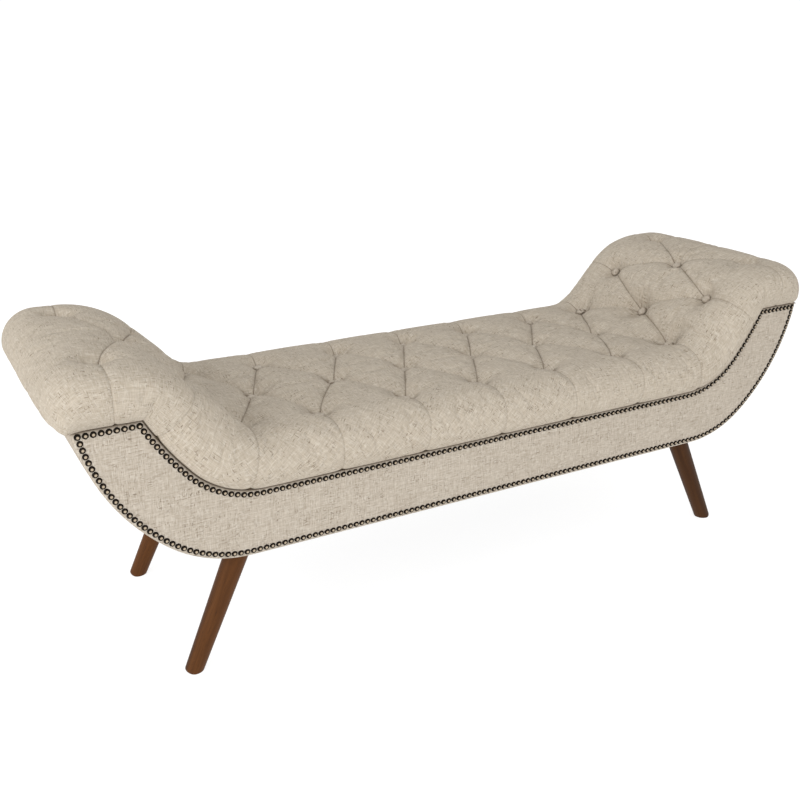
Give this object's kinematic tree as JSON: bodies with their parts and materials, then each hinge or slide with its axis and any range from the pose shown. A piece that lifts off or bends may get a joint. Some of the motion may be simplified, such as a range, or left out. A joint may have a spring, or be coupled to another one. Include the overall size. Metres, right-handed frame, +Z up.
{
  "type": "upholstered bench",
  "caption": "Backless upholstered bench with a diamond-tufted seat that runs up two outward-scrolled arms, nail-edged boat-shaped sides and splayed tapered wooden legs.",
  "frame": {"origin": "on the floor, in the middle of the bench's length and depth", "axes": "+X along the bench from the left arm to the right arm, +Y from the front long side to the back long side, +Z up"},
  "size_m": [1.5258, 0.472, 0.5608],
  "materials": {
    "linen": "plain-woven oatmeal linen with slubs",
    "lining": "thin black lining cloth",
    "padding": "cut upholstery foam",
    "twine": "waxed button twine",
    "plywood": "raw plywood",
    "softwood": "raw softwood",
    "walnut": "walnut stain, satin varnish",
    "steel": "zinc-plated",
    "nail_bronze": "dark antique bronze with rubbed crowns"
  },
  "bodies": {
    "root": {"front_side_board": "plywood", "back_side_board": "plywood", "seat_deck": "plywood", "left_arm_deck": "plywood", "right_arm_deck": "plywood", "left_arm_cap": "plywood", "right_arm_cap": "plywood", "left_arm_rail": "softwood", "right_arm_rail": "softwood", "left_seat_rail": "softwood", "right_seat_rail": "softwood", "left_corner_rail": "softwood", "right_corner_rail": "softwood", "left_leg_rail": "softwood", "right_leg_rail": "softwood", "frame_screws": "steel", "front_left_leg": "walnut", "front_right_leg": "walnut", "back_left_leg": "walnut", "back_right_leg": "walnut", "hanger_bolts": "steel", "tee_nuts": "steel", "seat_foam": "padding", "left_arm_foam": "padding", "right_arm_foam": "padding", "tufted_cover": "linen", "tuft_buttons": "linen", "button_ties": "twine", "front_panel_cover": "linen", "back_panel_cover": "linen", "left_end_cover": "linen", "right_end_cover": "linen", "dust_cover": "lining", "front_nail_trim": "nail_bronze", "back_nail_trim": "nail_bronze"}
  },
  "joints": []
}
